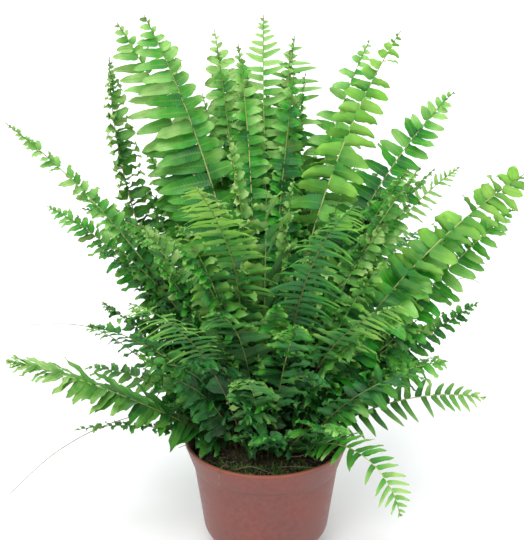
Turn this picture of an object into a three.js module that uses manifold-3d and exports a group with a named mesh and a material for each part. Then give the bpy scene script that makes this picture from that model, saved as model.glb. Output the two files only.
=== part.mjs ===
// A Boston fern in a plastic nursery pot, as a standalone three.js model.
// Units are millimetres, +Z is up, and the origin is the centre of the pot's base.
// +X is to the right of the plant's best side and -Y is its front.

import * as THREE from 'three';
import { mergeVertices } from 'three/addons/utils/BufferGeometryUtils.js';
import Module from 'manifold-3d';

const wasm = await Module();
wasm.setup();

// Driving dimensions.

const gap = 0.3;
const degree = Math.PI / 180;

const pot = {
  height: 92,
  rimRadius: 60,
  rimRounding: 1,
  lipWidth: 2.8,
  beadHeight: 3,
  collarFoot: 74,
  collarFootRadius: 54.6,
  neckDrop: 2.5,
  neckRadius: 53.4,
  heelHeight: 21,
  heelRadius: 46.7,
  heelRounding: 2,
  footRadius: 35,
  footRounding: 1,
  wall: 1.4,
  floor: 2,
  recess: 1.5,
  recessInner: 15,
  recessOuter: 29,
  drainRadius: 4,
  drainRing: 22.5,
  drainCount: 8,
  drainSides: 12,
  sides: 48,
};

// The soil meets the pot's wall a little under the rim and rises to a flat mound in the middle.
const soil = {
  edgeHeight: 80,
  edgeRounding: 1,
  slopeRadius: 46,
  slopeHeight: 81.5,
  moundHeight: 84,
  moundRadius: 36,
};
const crown = { radius: 34, edge: 2, height: 9, rings: [34, 28, 20, 10, 0], sides: 24 };
const crownFloor = soil.moundHeight + gap;

// The stalk of a frond is a thin strip, wider and thicker at the crown than at the tip. Its
// leaflets stand on the part beyond the bare stalk, one on each side of every step.
const stalk = {
  footWidth: 2.4,
  tipWidth: 1,
  footThickness: 1.4,
  tipThickness: 0.8,
  bareShare: 0.2,
  footRise: 1.5,
};
const leaflet = { step: 20, sweep: 0.25, droop: 0.12, clearance: 3.5, probeStep: 2 };
const leafletShares = [1, 0.75, 0.5, 0.3];
const archPower = 1.5;

// A frond leaves the crown at its seat, this far from the middle, and grows towards its heading,
// counted anticlockwise from +X. It starts at its lean from the upright and arches over by its
// arch before it ends. Angles are degrees, and leaf is the length of its longest leaflet.
const fronds = {
  tall_frond: [
    { heading: 150, seat: 14, lean: 8, arch: 30, length: 318, leaf: 34, roll: -55 },
    { heading: 160, seat: 5, lean: 6, arch: 24, length: 320, leaf: 34, roll: -60 },
    { heading: 112, seat: 16, lean: 8, arch: 24, length: 298, leaf: 24, roll: -20 },
    { heading: 128, seat: 22, lean: 12, arch: 16, length: 282, leaf: 20, roll: -30 },
    { heading: 90, seat: 9, lean: 4, arch: 14, length: 305, leaf: 28, roll: 0 },
    { heading: 76, seat: 18, lean: 8, arch: 10, length: 290, leaf: 32, roll: 15 },
    { heading: 50, seat: 14, lean: 6, arch: 38, length: 300, leaf: 28, roll: 40 },
    { heading: 18, seat: 7, lean: 6, arch: 28, length: 312, leaf: 34, roll: -105 },
    { heading: 26, seat: 18, lean: 12, arch: 42, length: 285, leaf: 32, roll: 60 },
  ],
  spreading_frond: [
    { heading: 186, seat: 16, lean: 22, arch: 28, length: 296, leaf: 22, roll: -25 },
    { heading: 170, seat: 21, lean: 30, arch: -32, length: 300, leaf: 14, roll: -30 },
    { heading: 163, seat: 24, lean: 22, arch: 48, length: 225, leaf: 22, roll: -50 },
    { heading: 178, seat: 10, lean: 4, arch: 76, length: 230, leaf: 14, roll: -40 },
    { heading: 200, seat: 28, lean: 54, arch: 14, length: 186, leaf: 32, roll: -6 },
    { heading: 192, seat: 30, lean: 66, arch: 30, length: 115, leaf: 10, roll: 0 },
    { heading: 342, seat: 18, lean: 26, arch: 30, length: 315, leaf: 38, roll: -80 },
    { heading: 357, seat: 22, lean: 36, arch: 8, length: 238, leaf: 26, roll: 70 },
    { heading: 37, seat: 22, lean: 24, arch: 48, length: 246, leaf: 22, roll: 50 },
    { heading: 12, seat: 26, lean: 50, arch: 12, length: 165, leaf: 22, roll: 50 },
    { heading: 354, seat: 30, lean: 54, arch: 44, length: 140, leaf: 24, roll: 60 },
    { heading: 316, seat: 30, lean: 50, arch: 120, length: 122, leaf: 26, roll: 10 },
    { heading: 350, seat: 14, lean: 28, arch: 20, length: 220, leaf: 34, roll: 70 },
  ],
  front_frond: [
    { heading: 236, seat: 26, lean: 22, arch: 40, length: 210, leaf: 24, roll: 34 },
    { heading: 243, seat: 12, lean: 4, arch: 46, length: 252, leaf: 30, roll: 27 },
    { heading: 298, seat: 18, lean: 7, arch: 46, length: 250, leaf: 30, roll: -28 },
    { heading: 252, seat: 18, lean: 12, arch: 50, length: 175, leaf: 34, roll: 18 },
    { heading: 320, seat: 22, lean: 14, arch: 52, length: 174, leaf: 28, roll: -48 },
    { heading: 268, seat: 12, lean: 4, arch: 22, length: 215, leaf: 24, roll: 30 },
    { heading: 282, seat: 24, lean: 14, arch: 40, length: 160, leaf: 24, roll: -12 },
    { heading: 262, seat: 28, lean: 20, arch: 46, length: 130, leaf: 22, roll: 8 },
    { heading: 335, seat: 29, lean: 34, arch: 36, length: 122, leaf: 26, roll: -50 },
    { heading: 212, seat: 22, lean: 28, arch: 40, length: 175, leaf: 26, roll: 45 },
    { heading: 298, seat: 29, lean: 36, arch: 50, length: 105, leaf: 20, roll: -20 },
    { heading: 272, seat: 31, lean: 30, arch: 44, length: 64, leaf: 16, roll: 0 },
  ],
  back_frond: [
    { heading: 100, seat: 26, lean: 20, arch: 50, length: 240, leaf: 30, roll: 0 },
    { heading: 66, seat: 26, lean: 26, arch: 45, length: 230, leaf: 28, roll: 10 },
    { heading: 138, seat: 29, lean: 30, arch: 45, length: 225, leaf: 28, roll: -10 },
    { heading: 50, seat: 29, lean: 40, arch: 40, length: 200, leaf: 26, roll: 15 },
    { heading: 130, seat: 30, lean: 44, arch: 36, length: 165, leaf: 26, roll: -10 },
    { heading: 34, seat: 31, lean: 44, arch: 40, length: 145, leaf: 24, roll: 20 },
    { heading: 84, seat: 31, lean: 48, arch: 50, length: 175, leaf: 26, roll: 0 },
    { heading: 118, seat: 31, lean: 58, arch: 44, length: 165, leaf: 24, roll: -5 },
    { heading: 166, seat: 31, lean: 50, arch: 46, length: 120, leaf: 22, roll: -20 },
  ],
  young_frond: [
    { heading: 330, seat: 4, lean: 2, arch: 8, length: 205, leaf: 14, roll: 60 },
    { heading: 210, seat: 5, lean: 3, arch: 8, length: 240, leaf: 16, roll: -60 },
    { heading: 60, seat: 5, lean: 3, arch: 16, length: 250, leaf: 18, roll: 30 },
    { heading: 300, seat: 9, lean: 8, arch: 20, length: 170, leaf: 18, roll: 20 },
    { heading: 235, seat: 19, lean: 16, arch: 20, length: 125, leaf: 16, roll: -20 },
    { heading: 5, seat: 14, lean: 14, arch: 24, length: 180, leaf: 22, roll: 60 },
    { heading: 195, seat: 13, lean: 14, arch: 24, length: 190, leaf: 24, roll: -60 },
    { heading: 110, seat: 8, lean: 6, arch: 24, length: 230, leaf: 26, roll: -20 },
  ],
};

// Wiry runners, bare threads that grow out of the crown and hang in the air.
const runnerRadius = 0.5;
const runnerSteps = 24;
const runners = {
  runner_1: [[-30, -6, 92], [-70, -20, 122], [-110, -28, 118], [-150, -34, 98], [-186, -40, 66]],
  runner_2: [[-32, 10, 91], [-80, 32, 128], [-130, 48, 158], [-184, 52, 160]],
  runner_3: [[30, 12, 92], [78, 30, 150], [118, 34, 190], [146, 36, 204], [158, 36, 200]],
};

const looks = {
  pot: new THREE.MeshStandardMaterial({ color: 0x96584f, roughness: 0.55, metalness: 0 }),
  soil: new THREE.MeshStandardMaterial({ color: 0x2b2018, roughness: 0.95, metalness: 0 }),
  crown: new THREE.MeshStandardMaterial({ color: 0x4a3a22, roughness: 0.9, metalness: 0 }),
  leaf: new THREE.MeshStandardMaterial({ color: 0x3f9a3a, roughness: 0.5, metalness: 0 }),
  youngLeaf: new THREE.MeshStandardMaterial({ color: 0x6dbb4a, roughness: 0.5, metalness: 0 }),
  runner: new THREE.MeshStandardMaterial({ color: 0x9a9460, roughness: 0.7, metalness: 0 }),
};

// Shared helpers.

function vector2(x, y) {
  return new THREE.Vector2(x, y);
}

function toSolid(geometry) {
  geometry.deleteAttribute('normal');
  geometry.deleteAttribute('uv');
  const merged = mergeVertices(geometry);
  const vertProperties = Float32Array.from(merged.attributes.position.array);
  const triVerts = Uint32Array.from(merged.index.array);
  return new wasm.Manifold(new wasm.Mesh({ numProp: 3, vertProperties, triVerts }));
}

function toGeometry(solid) {
  const mesh = solid.getMesh();
  const geometry = new THREE.BufferGeometry();
  geometry.setAttribute('position', new THREE.BufferAttribute(mesh.vertProperties, 3));
  geometry.setIndex(new THREE.BufferAttribute(mesh.triVerts, 1));
  geometry.computeVertexNormals();
  return geometry;
}

function turnedSolid(profile, sides) {
  const geometry = new THREE.LatheGeometry(profile, sides);
  geometry.rotateX(Math.PI / 2);
  return toSolid(geometry);
}

function namedMesh(name, geometry, material) {
  const mesh = new THREE.Mesh(geometry, material);
  mesh.name = name;
  return mesh;
}

// Pot: a tapered cup with a flared collar, a bevelled heel and a recessed ring of drain holes.

// The heel's bevel, from the foot up to where the straight wall begins.
function heelProfile(inset) {
  const { footRadius, footRounding, heelRadius, heelRounding, heelHeight } = pot;
  return [
    vector2(footRadius - inset, inset),
    vector2(footRadius + footRounding - inset, inset + footRounding),
    vector2(heelRadius - heelRounding / 4 - inset, heelHeight - heelRounding),
    vector2(heelRadius - inset, heelHeight),
  ];
}

function makePot() {
  const { height, rimRadius, rimRounding, wall, floor, recess, collarFoot } = pot;
  const beadFoot = height - pot.beadHeight;
  const neckHeight = collarFoot - pot.neckDrop;
  const lipRadius = rimRadius - pot.lipWidth;
  const floorTop = recess + floor;
  const profile = [
    vector2(0, 0),
    vector2(pot.recessInner, 0),
    vector2(pot.recessInner + recess, recess),
    vector2(pot.recessOuter, recess),
    vector2(pot.recessOuter + recess, 0),
    ...heelProfile(0),
    vector2(pot.neckRadius, neckHeight),
    vector2(pot.collarFootRadius, collarFoot),
    vector2(rimRadius - wall, beadFoot - rimRounding),
    vector2(rimRadius, beadFoot),
    vector2(rimRadius, height - rimRounding),
    vector2(rimRadius - rimRounding, height),
    vector2(lipRadius + rimRounding / 2, height),
    vector2(lipRadius, height - rimRounding),
    vector2(pot.collarFootRadius - wall, collarFoot + wall),
    vector2(pot.neckRadius - wall, neckHeight),
    ...heelProfile(wall).reverse(),
    vector2(pot.recessOuter - floor, floorTop),
    vector2(0, floorTop),
  ];
  let solid = turnedSolid(profile, pot.sides);
  const drillDepth = 4 * floorTop;
  for (let i = 0; i < pot.drainCount; i += 1) {
    const angle = (i / pot.drainCount) * 2 * Math.PI;
    const { drainRadius, drainRing, drainSides } = pot;
    const drill = new THREE.CylinderGeometry(drainRadius, drainRadius, drillDepth, drainSides);
    drill.rotateX(Math.PI / 2);
    drill.translate(drainRing * Math.cos(angle), drainRing * Math.sin(angle), 0);
    solid = solid.subtract(toSolid(drill));
  }
  return namedMesh('pot', toGeometry(solid), looks.pot);
}

// Soil: it fills the pot to just under the collar's edge and mounds up to the crown.

function makeSoil() {
  const inset = pot.wall + gap;
  const bottom = pot.recess + pot.floor + gap;
  const edgeRadius = pot.collarFootRadius - inset;
  const profile = [
    vector2(0, bottom),
    vector2(pot.recessOuter - pot.floor - gap, bottom),
    ...heelProfile(inset + gap).slice(1),
    vector2(pot.neckRadius - inset, pot.collarFoot - pot.neckDrop),
    vector2(edgeRadius, pot.collarFoot + pot.wall),
    vector2(edgeRadius, soil.edgeHeight - soil.edgeRounding),
    vector2(edgeRadius - soil.edgeRounding, soil.edgeHeight),
    vector2(soil.slopeRadius, soil.slopeHeight),
    vector2(soil.moundRadius, soil.moundHeight),
    vector2(0, soil.moundHeight),
  ];
  return namedMesh('soil', toGeometry(turnedSolid(profile, pot.sides)), looks.soil);
}

// Crown: the low dome of rhizome and old stalk ends that every frond grows from.

function crownTop(radius) {
  const share = radius / crown.radius;
  return crownFloor + crown.edge + (crown.height - crown.edge) * (1 - share * share);
}

function makeCrown() {
  const dome = crown.rings.map((radius) => vector2(radius, crownTop(radius)));
  const profile = [vector2(0, crownFloor), vector2(crown.radius, crownFloor), ...dome];
  return namedMesh('rhizome_crown', toGeometry(turnedSolid(profile, crown.sides)), looks.crown);
}

// Fronds: the stations along a stalk, each with its place and its own left and up.

function frondStations(frond) {
  const heading = frond.heading * degree;
  const outward = new THREE.Vector3(Math.cos(heading), Math.sin(heading), 0);
  const level = new THREE.Vector3(-Math.sin(heading), Math.cos(heading), 0);
  const steps = Math.round(frond.length / leaflet.step);
  const place = outward.clone().multiplyScalar(frond.seat);
  place.z = crownTop(frond.seat) + stalk.footRise;
  const stations = [];
  for (let i = 0; i <= steps; i += 1) {
    const fallHere = (frond.lean + frond.arch * (i / steps) ** archPower) * degree;
    const along = outward.clone().multiplyScalar(Math.sin(fallHere));
    along.z = Math.cos(fallHere);
    const left = level.clone().applyAxisAngle(along, frond.roll * degree);
    const up = along.clone().cross(left);
    stations.push({ share: i / steps, place: place.clone(), along, left, up });
    const fallNext = (frond.lean + frond.arch * ((i + 0.5) / steps) ** archPower) * degree;
    place.addScaledVector(outward, (Math.sin(fallNext) * frond.length) / steps);
    place.z += (Math.cos(fallNext) * frond.length) / steps;
  }
  return stations;
}

// A blade widens quickly from its first leaflets, stays wide, and narrows to its tip.
function bladeWidth(share) {
  const along = (share - stalk.bareShare) / (1 - stalk.bareShare);
  return Math.min(1, 0.45 + 1.8 * along) * Math.sqrt(Math.max(0, 1.02 - along));
}

// Space that is already taken, as points filed by the cell that they lie in.

const cellSize = leaflet.clearance;
const takenCells = new Map();

function cellOf(point, dx, dy, dz) {
  const x = Math.floor(point.x / cellSize) + dx;
  const y = Math.floor(point.y / cellSize) + dy;
  const z = Math.floor(point.z / cellSize) + dz;
  return `${x},${y},${z}`;
}

function claim(points, owner) {
  for (const point of points) {
    const key = cellOf(point, 0, 0, 0);
    const held = takenCells.get(key) || [];
    held.push({ point, owner });
    takenCells.set(key, held);
  }
}

function isTaken(point, owner) {
  const near = [-1, 0, 1];
  return near.some((dx) => near.some((dy) => near.some((dz) => {
    const held = takenCells.get(cellOf(point, dx, dy, dz)) || [];
    return held.some((other) => other.owner !== owner
      && other.point.distanceTo(point) < leaflet.clearance);
  })));
}

function isInPot(point) {
  const margin = 2;
  return Math.hypot(point.x, point.y) < pot.rimRadius + margin && point.z < pot.height + margin;
}

function pointsBetween(start, end) {
  const count = Math.max(1, Math.ceil(start.distanceTo(end) / leaflet.probeStep));
  const points = [];
  for (let i = 0; i <= count; i += 1) {
    points.push(start.clone().lerp(end, i / count));
  }
  return points;
}

// A leaflet tapers from one whole step of the stalk to a point.
function leafletTip(from, to, side, length) {
  const tip = from.place.clone().lerp(to.place, 0.5);
  tip.addScaledVector(from.left, side * length);
  tip.addScaledVector(from.along, leaflet.sweep * length);
  tip.addScaledVector(from.up, -leaflet.droop * length);
  return tip;
}

function leafletPoints(from, to, tip) {
  return pointsBetween(from.place, to.place).flatMap((foot) => pointsBetween(foot, tip));
}

// The longest share of a leaflet that stays clear of everything else, or none.
function clearLeaflet(from, to, side, length, owner) {
  for (const share of leafletShares) {
    const tip = leafletTip(from, to, side, share * length);
    const points = leafletPoints(from, to, tip);
    if (!points.some((point) => isInPot(point) || isTaken(point, owner))) {
      claim(points, owner);
      return tip;
    }
  }
  return null;
}

function stalkCorners(station) {
  const width = THREE.MathUtils.lerp(stalk.footWidth, stalk.tipWidth, station.share) / 2;
  const depth = THREE.MathUtils.lerp(stalk.footThickness, stalk.tipThickness, station.share) / 2;
  const corners = [[1, 1], [-1, 1], [-1, -1], [1, -1]];
  return corners.map(([across, high]) => station.place.clone()
    .addScaledVector(station.left, across * width)
    .addScaledVector(station.up, high * depth));
}

// The four sides of a stalk in order: its top, its right, its underside and its left.
const sideOfFace = [0, -1, 0, 1];

function frondGeometry(frond, name) {
  const stations = frondStations(frond);
  const positions = [];
  const index = [];
  const addPoint = (point) => {
    positions.push(point.x, point.y, point.z);
    return positions.length / 3 - 1;
  };
  const addQuad = (a, b, c, d) => index.push(a, b, c, a, c, d);
  stations.forEach((station) => stalkCorners(station).forEach(addPoint));
  addQuad(0, 3, 2, 1);
  for (let i = 0; i + 1 < stations.length; i += 1) {
    const from = stations[i];
    const to = stations[i + 1];
    const length = frond.leaf * bladeWidth((from.share + to.share) / 2);
    for (let face = 0; face < 4; face += 1) {
      const next = (face + 1) % 4;
      const ring = [4 * i + face, 4 * i + next, 4 * i + 4 + next, 4 * i + 4 + face];
      const side = sideOfFace[face];
      const bare = side === 0 || from.share < stalk.bareShare;
      const tip = bare ? null : clearLeaflet(from, to, side, length, name);
      if (tip) {
        const apex = addPoint(tip);
        ring.forEach((corner, k) => index.push(corner, ring[(k + 1) % 4], apex));
      } else {
        addQuad(...ring);
      }
    }
  }
  const last = 4 * (stations.length - 1);
  addQuad(last, last + 1, last + 2, last + 3);
  const geometry = new THREE.BufferGeometry();
  geometry.setAttribute('position', new THREE.Float32BufferAttribute(positions, 3));
  geometry.setIndex(index);
  geometry.computeVertexNormals();
  return geometry;
}

function makeFronds() {
  const rows = Object.entries(fronds).flatMap(([kind, group]) => group.map((frond, i) => {
    const name = `${kind}_${String(i + 1).padStart(2, '0')}`;
    return { name, frond, material: kind === 'young_frond' ? looks.youngLeaf : looks.leaf };
  }));
  for (const { name, frond } of rows) {
    const places = frondStations(frond).map((station) => station.place);
    for (let i = 0; i + 1 < places.length; i += 1) {
      claim(pointsBetween(places[i], places[i + 1]), name);
    }
  }
  return rows.map(({ name, frond, material }) => {
    const geometry = frondGeometry(frond, name);
    return namedMesh(name, geometry, material);
  });
}

// Runners: round threads along a smooth curve.

function makeRunners() {
  const section = new THREE.Shape().absarc(0, 0, runnerRadius, 0, 2 * Math.PI);
  return Object.entries(runners).map(([name, points]) => {
    const route = new THREE.CatmullRomCurve3(points.map((point) => new THREE.Vector3(...point)));
    claim(route.getPoints(4 * runnerSteps), name);
    const geometry = new THREE.ExtrudeGeometry(section, {
      steps: runnerSteps,
      curveSegments: 3,
      bevelEnabled: false,
      extrudePath: route,
    });
    return namedMesh(name, geometry, looks.runner);
  });
}

const plant = new THREE.Group();
plant.add(makePot(), makeSoil(), makeCrown(), ...makeRunners(), ...makeFronds());

export default plant;
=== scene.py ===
import math

import bmesh
import bpy
import numpy as np
from mathutils import Matrix, Vector, noise


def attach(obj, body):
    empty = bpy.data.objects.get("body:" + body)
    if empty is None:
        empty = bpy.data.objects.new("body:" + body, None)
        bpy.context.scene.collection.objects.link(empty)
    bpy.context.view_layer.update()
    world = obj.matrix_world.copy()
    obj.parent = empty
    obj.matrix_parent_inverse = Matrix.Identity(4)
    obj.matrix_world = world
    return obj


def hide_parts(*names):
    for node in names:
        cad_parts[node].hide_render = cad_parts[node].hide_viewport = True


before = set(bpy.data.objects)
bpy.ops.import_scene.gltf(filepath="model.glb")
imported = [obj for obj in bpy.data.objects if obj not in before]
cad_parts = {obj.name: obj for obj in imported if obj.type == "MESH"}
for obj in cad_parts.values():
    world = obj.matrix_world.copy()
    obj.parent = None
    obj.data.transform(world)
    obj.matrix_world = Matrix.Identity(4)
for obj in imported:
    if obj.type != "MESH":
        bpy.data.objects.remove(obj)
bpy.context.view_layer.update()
mm = 0.001

# Fronds as the frame holds them, in millimetres, and in degrees anticlockwise from +X. A frond leaves
# the crown at its seat, starts at its lean from the upright and arches over along its length. Leaf is
# how long its leaflets are, and roll turns its flat side about its stalk.
frondFields = ("heading", "seat", "lean", "arch", "length", "leaf", "roll")
frondHabits = {
    "tall_frond": [
        (150, 14, 8, 30, 318, 34, -55),
        (160, 5, 6, 24, 320, 34, -60),
        (112, 16, 8, 24, 298, 24, -20),
        (128, 22, 12, 16, 282, 20, -30),
        (90, 9, 4, 14, 305, 28, 0),
        (76, 18, 8, 10, 290, 32, 15),
        (50, 14, 6, 38, 300, 28, 40),
        (18, 7, 6, 28, 312, 34, -105),
        (26, 18, 12, 42, 285, 32, 60),
    ],
    "spreading_frond": [
        (186, 16, 22, 28, 296, 22, -25),
        (170, 21, 30, -32, 300, 14, -30),
        (163, 24, 22, 48, 225, 22, -50),
        (178, 10, 4, 76, 230, 14, -40),
        (200, 28, 54, 14, 186, 32, -6),
        (192, 30, 66, 30, 115, 10, 0),
        (342, 18, 26, 30, 315, 38, -80),
        (357, 22, 36, 8, 238, 26, 70),
        (37, 22, 24, 48, 246, 22, 50),
        (12, 26, 50, 12, 165, 22, 50),
        (354, 30, 54, 44, 140, 24, 60),
        (316, 30, 50, 120, 122, 26, 10),
        (350, 14, 28, 20, 220, 34, 70),
    ],
    "front_frond": [
        (236, 26, 22, 40, 210, 24, 34),
        (243, 12, 4, 46, 252, 30, 27),
        (298, 18, 7, 46, 250, 30, -28),
        (252, 18, 12, 50, 175, 34, 18),
        (320, 22, 14, 52, 174, 28, -48),
        (268, 12, 4, 22, 215, 24, 30),
        (282, 24, 14, 40, 160, 24, -12),
        (262, 28, 20, 46, 130, 22, 8),
        (335, 29, 34, 36, 122, 26, -50),
        (212, 22, 28, 40, 175, 26, 45),
        (298, 29, 36, 50, 105, 20, -20),
        (272, 31, 30, 44, 64, 16, 0),
    ],
    "back_frond": [
        (100, 26, 20, 50, 240, 30, 0),
        (66, 26, 26, 45, 230, 28, 10),
        (138, 29, 30, 45, 225, 28, -10),
        (50, 29, 40, 40, 200, 26, 15),
        (130, 30, 44, 36, 165, 26, -10),
        (34, 31, 44, 40, 145, 24, 20),
        (84, 31, 48, 50, 175, 26, 0),
        (118, 31, 58, 44, 165, 24, -5),
        (166, 31, 50, 46, 120, 22, -20),
    ],
    "young_frond": [
        (330, 4, 2, 8, 205, 14, 60),
        (210, 5, 3, 8, 240, 16, -60),
        (60, 5, 3, 16, 250, 18, 30),
        (300, 9, 8, 20, 170, 18, 20),
        (235, 19, 16, 20, 125, 16, -20),
        (5, 14, 14, 24, 180, 22, 60),
        (195, 13, 14, 24, 190, 24, -60),
        (110, 8, 6, 24, 230, 26, -20),
    ],
}

# The leaflets of each habit. Spacing is the way from one leaflet to the next on the same side in
# millimetres, broad is a leaflet's width over it, and bare is the share of the stalk below the first
# one. In degrees, sweep leans leaflets forward, fold lifts them and twist turns them unevenly. Sag
# droops their tips, ruffle waves their margins and a higher blunt gives a rounder tip. Tone runs from
# 0, the darkest old green, to 1, the brightest young green, and also holds painted shade and light:
# lower for fronds and sprigs deep in and low in the plant, higher for those on top.
leafletLooks = {
    "tall_frond": dict(spacing=10, broad=0.95, bare=0.16, sweep=8, fold=4, twist=20, sag=0.14,
                       ruffle=0.12, blunt=3.6, tone=0.52),
    "spreading_frond": dict(spacing=8.5, broad=0.95, bare=0.14, sweep=14, fold=14, twist=36, sag=0.2,
                            ruffle=0.22, blunt=3.2, tone=0.44),
    "front_frond": dict(spacing=8.5, broad=0.9, bare=0.30, sweep=20, fold=10, twist=44, sag=0.26,
                        ruffle=0.26, blunt=2.6, tone=0.30),
    "back_frond": dict(spacing=9.5, broad=0.9, bare=0.2, sweep=14, fold=4, twist=26, sag=0.18,
                       ruffle=0.18, blunt=3, tone=0.36),
    "young_frond": dict(spacing=9, broad=1.05, bare=0.2, sweep=20, fold=16, twist=40, sag=0.20,
                        ruffle=0.26, blunt=3, tone=0.54),
}

# Every frond has these unless its own look says otherwise, and combLook is for the front fronds whose
# narrow leaflets stand side by side like the teeth of a comb.
plainLook = dict(grow=1, uneven=0, paintedLightRise=0.5)
combLook = dict(fold=-4, blunt=2)

# What a single frond does differently from its habit. Grow lengthens its leaflets, uneven lengthens
# those on one side, and its tone climbs from foot to tip by a given amount, painted shade low down
# and painted light towards the tip. Hue runs from -1, an olive green, to 1, a cool emerald. Stem is
# how pale the stalk is.
ownLooks = {
    "tall_frond_01": dict(spacing=12, broad=0.90, twist=26, blunt=3, grow=1.12, uneven=0.14, hue=0.2),
    "tall_frond_02": dict(spacing=12, broad=1.0, twist=26, ruffle=0.16, tone=0.48, grow=1.1, uneven=0.3,
                          hue=0.2),
    "tall_frond_03": dict(spacing=12.5, twist=30, blunt=4.5, tone=0.82, grow=1.1, hue=-0.2),
    "tall_frond_04": dict(spacing=11, blunt=4, tone=0.68, grow=1.35, hue=-0.2),
    "tall_frond_05": dict(spacing=9.2, broad=0.72, twist=10, blunt=2.6, tone=0.66, grow=1.2, hue=0.3),
    "tall_frond_06": dict(spacing=9.8, broad=0.64, sweep=2, twist=10, blunt=2.6, grow=1.25, uneven=-0.2,
                          hue=0.3),
    "tall_frond_07": dict(spacing=11, broad=0.92, twist=40, sag=0.3, blunt=4, tone=0.58, grow=1.12,
                          hue=0.6),
    "tall_frond_08": dict(spacing=12, broad=0.98, twist=42, sag=0.36, blunt=4.5, tone=0.64, grow=0.92,
                          hue=0.6),
    "tall_frond_09": dict(spacing=11, broad=0.96, twist=24, blunt=3.4, tone=0.46, paintedLightRise=0.8, hue=0.6),
    "spreading_frond_01": dict(spacing=8, fold=12, tone=0.46),
    "spreading_frond_02": dict(spacing=7.5, broad=1.3, fold=24, twist=90, ruffle=0.36, grow=1.8, hue=-0.6),
    "spreading_frond_04": dict(spacing=7),
    "spreading_frond_05": dict(spacing=7, broad=1.15, bare=0.04, sweep=30, fold=0, twist=26, sag=0.10,
                               tone=0.66, grow=1.4, hue=-0.35),
    "spreading_frond_07": dict(spacing=9, broad=1.2, bare=0.2, twist=40, sag=0.3, ruffle=0.14, blunt=4.5,
                               tone=0.56, grow=0.68, hue=0.45),
    "spreading_frond_08": dict(spacing=10, fold=20, blunt=4, tone=0.62, grow=1.15),
    "spreading_frond_09": dict(broad=0.6, twist=12, blunt=2.2, tone=0.62),
    "spreading_frond_10": dict(grow=0.8),
    "spreading_frond_11": dict(broad=0.62, fold=4, twist=8, blunt=2.2, tone=0.58, grow=0.9),
    "spreading_frond_12": dict(spacing=7.8, broad=0.66, bare=0.1, fold=2, twist=8, sag=0.08, ruffle=0.1,
                               blunt=3, tone=0.66, hue=0),
    "spreading_frond_13": dict(spacing=11, broad=1.05, bare=0.2, twist=40, blunt=4.5, tone=0.56, grow=0.95),
    "front_frond_01": dict(**combLook, spacing=6, broad=0.66, bare=0.5, twist=8, ruffle=0.12, tone=0.52,
                           stem=0.34),
    "front_frond_02": dict(**combLook, spacing=6.4, broad=0.84, bare=0.44, twist=12, ruffle=0.14,
                           tone=0.56, grow=1.15, paintedLightRise=1.3, hue=0.2, stem=0.40),
    "front_frond_03": dict(**combLook, spacing=6.2, broad=0.76, bare=0.44, twist=8, sag=0.3, ruffle=0.12,
                           tone=0.26, paintedLightRise=1.0, hue=0.9, stem=0.28),
    "front_frond_05": dict(**combLook, spacing=6.4, broad=0.72, bare=0.5, twist=10, ruffle=0.14,
                           tone=0.54, paintedLightRise=1.0, stem=0.34),
    "front_frond_06": dict(spacing=23, broad=0.42, bare=0.42, sweep=42, fold=20, twist=14, ruffle=0.3,
                           blunt=2, tone=0.46, grow=1.7, uneven=0.35, hue=-0.7),
    "front_frond_11": dict(twist=30, blunt=3, tone=0.44, hue=0.4),
    "front_frond_12": dict(spacing=11, bare=0.2, twist=80, tone=0.16, hue=0.5),
}


# Small helpers.

def addObject(name, data):
    made = bpy.data.objects.new(name, data)
    bpy.context.scene.collection.objects.link(made)
    return made


def showPiece(piece, node, slot, *materials):
    for material in materials:
        piece.data.materials.append(material)
    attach(piece, "root")
    if node:
        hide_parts(node)


def unit(v):
    return v / np.maximum(np.linalg.norm(v, axis=-1, keepdims=True), 1e-9)


def turnAbout(v, axis, angle):
    # Rodrigues' turn of v about a unit axis, for one vector or for rows of them.
    c = np.cos(angle)[..., None]
    s = np.sin(angle)[..., None]
    return v * c + np.cross(axis, v) * s + axis * (v * axis).sum(-1, keepdims=True) * (1 - c)


def smoothMesh(mesh, sharpDegrees=60):
    mesh.polygons.foreach_set("use_smooth", [True] * len(mesh.polygons))
    mesh.set_sharp_from_angle(angle=math.radians(sharpDegrees))
    mesh.update()


def ringPoints(radius, around):
    return [(radius * math.cos(t), radius * math.sin(t))
            for t in (2 * math.pi * k / around for k in range(around))]


def ringFaces(rings, around):
    # Faces of a closed surface of rings, whose first and last points are on the axis.
    faces = []
    last = 1 + (rings - 1) * around
    for k in range(around):
        n = (k + 1) % around
        faces.append((0, 1 + n, 1 + k))
        for low in range(1, last, around):
            high = low + around
            faces.append((low + k, low + n, high + n, high + k))
        faces.append((last + k, last + n, last + around))
    return faces


def solidMesh(name, vertices, faces):
    mesh = bpy.data.meshes.new(name)
    mesh.from_pydata([[c * mm for c in v] for v in vertices], [], faces)
    return mesh


def scatter(rng, radius, least, most):
    # A chance place on a disc: how far out it is, in which direction, and its x and y.
    r = radius * math.sqrt(rng.uniform(least, most))
    t = rng.uniform(0, 6.28)
    return r, t, r * math.cos(t), r * math.sin(t)


# Shader nodes.

def newMaterial(name):
    material = bpy.data.materials.new(name)
    material.use_nodes = True
    tree = material.node_tree
    return material, tree, tree.nodes["Principled BSDF"]


def link(tree, source, target):
    tree.links.new(source, target)


def setOut(tree, end):
    # Sets the nodes out in columns, each to the left of the furthest node that it feeds.
    columns = {end.name: 0}
    waiting = [end]
    while waiting:
        node = waiting.pop()
        for wire in (w for socket in node.inputs for w in socket.links):
            source = wire.from_node
            if columns.get(source.name, 0) <= columns[node.name]:
                columns[source.name] = columns[node.name] + 1
                waiting.append(source)
    rows = {}
    for name, column in columns.items():
        tree.nodes[name].location = (-220 * column, -260 * rows.get(column, 0))
        rows[column] = rows.get(column, 0) + 1


def addNode(tree, kind, **values):
    node = tree.nodes.new(kind)
    for key, value in values.items():
        if hasattr(node, key):
            setattr(node, key, value)
        else:
            node.inputs[key].default_value = value
    return node


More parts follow.
